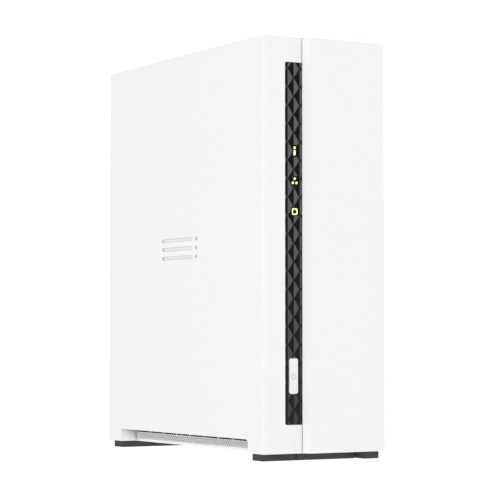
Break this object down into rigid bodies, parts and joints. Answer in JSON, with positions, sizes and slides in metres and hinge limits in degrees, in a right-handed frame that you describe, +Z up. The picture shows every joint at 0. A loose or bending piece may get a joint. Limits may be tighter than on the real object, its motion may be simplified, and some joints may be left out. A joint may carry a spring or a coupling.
{
  "type": "network attached storage",
  "caption": "Upright desktop network storage box: white housing, slide-off side cover, black faceted strip with lights and power button, rear fan and sockets, drive on a lift-off carrier.",
  "frame": {"origin": "on the floor under the middle of the body", "axes": "+X to the right seen from the front, the front looks along -Y, +Z up"},
  "size_m": [0.063, 0.1544, 0.1886],
  "materials": {
    "white_cover": "fine-textured matte white moulded plastic",
    "white_housing": "fine-textured matte white moulded plastic",
    "vent_grille": "matte light grey, finely perforated",
    "rear_panel": "white powder coat on sheet steel",
    "trim_black": "black facetted gloss plastic",
    "green_light": "lit green light guide",
    "amber_light": "lit warm yellow light guide",
    "button_white": "satin white cap",
    "foot_rubber": "dark grey rubber",
    "dark_screws": "black zinc",
    "bright_screws": "bright zinc",
    "black_plastic": "black moulded plastic",
    "socket_plastic": "natural nylon",
    "circuit_board": "green solder mask",
    "light_chip": "light-emitting chips",
    "ribbon": "white flat lead",
    "zinc_steel": "zinc-plated sheet steel",
    "drive_casting": "cast aluminium",
    "drive_lid": "pressed stainless lid",
    "chip_black": "epoxy package",
    "sink_aluminium": "extruded aluminium",
    "can_aluminium": "can sleeve",
    "cell_steel": "nickel-plated steel",
    "jack_shield": "tinned shield",
    "usb_blue": "blue insulator",
    "fan_black": "glass-filled black plastic",
    "lead_black": "black sleeve"
  },
  "bodies": {
    "chassis": {"main_shell": "white_housing", "right_vent_grille": "vent_grille", "rear_panel": "rear_panel", "rear_panel_screws": "dark_screws", "cover_screws": "bright_screws", "trim_strip": "trim_black", "status_light_guide": "green_light", "network_light_guide": "amber_light", "drive_light_guide": "green_light", "power_switch": "black_plastic", "front_board": "circuit_board", "front_leds": "light_chip", "front_board_screws": "bright_screws", "front_ribbon": "ribbon", "board_headers": "socket_plastic", "foot_front_right": "foot_rubber", "foot_rear_right": "foot_rubber", "foot_pads": "foot_rubber", "frame_plate": "zinc_steel", "frame_screws": "bright_screws", "carrier_studs": "bright_screws", "riser_board": "circuit_board", "riser_socket": "black_plastic", "drive_socket": "black_plastic", "mainboard": "circuit_board", "board_screws": "bright_screws", "processor": "chip_black", "heat_sink": "sink_aluminium", "heat_sink_pins": "socket_plastic", "capacitors": "can_aluminium", "inductors": "chip_black", "coin_cell": "cell_steel", "coin_cell_holder": "black_plastic", "memory_chips": "chip_black", "flash_chip": "chip_black", "interface_chips": "chip_black", "ethernet_jack": "jack_shield", "usb_shells": "jack_shield", "usb_tongues": "usb_blue", "power_inlet": "black_plastic", "reset_switch": "black_plastic", "fan_frame": "fan_black", "fan_screws": "dark_screws", "fan_lead": "lead_black"},
    "left_cover": {"left_cover": "white_cover", "left_vent_grille": "vent_grille", "foot_front_left": "foot_rubber", "foot_rear_left": "foot_rubber"},
    "power_button": {"power_button": "button_white", "switch_plunger": "black_plastic"},
    "reset_button": {"reset_button": "black_plastic"},
    "fan_rotor": {"fan_rotor": "fan_black"},
    "drive_carrier": {"drive_carrier": "zinc_steel", "drive_screws": "bright_screws", "drive_base": "drive_casting", "drive_lid": "drive_lid", "drive_lid_screws": "bright_screws", "drive_board": "circuit_board", "drive_connector": "black_plastic"}
  },
  "joints": [
    {"name": "cover_slide", "type": "slide", "parent": "chassis", "child": "left_cover", "axis": [-1, 0, 0], "range_m": [0, 0.06]},
    {"name": "carrier_lift", "type": "slide", "parent": "chassis", "child": "drive_carrier", "axis": [0, 0, 1], "range_m": [0, 0.008]},
    {"name": "power_press", "type": "slide", "parent": "chassis", "child": "power_button", "axis": [0, 1, 0], "range_m": [0, 0.0006], "stiffness_N_per_m": 1500},
    {"name": "reset_press", "type": "slide", "parent": "chassis", "child": "reset_button", "axis": [0, -1, 0], "range_m": [0, 0.0003], "stiffness_N_per_m": 1500},
    {"name": "fan_spin", "type": "hinge", "parent": "chassis", "child": "fan_rotor", "pos_m": [0, 0.0645, 0.15], "axis": [0, 1, 0], "continuous": true}
  ]
}
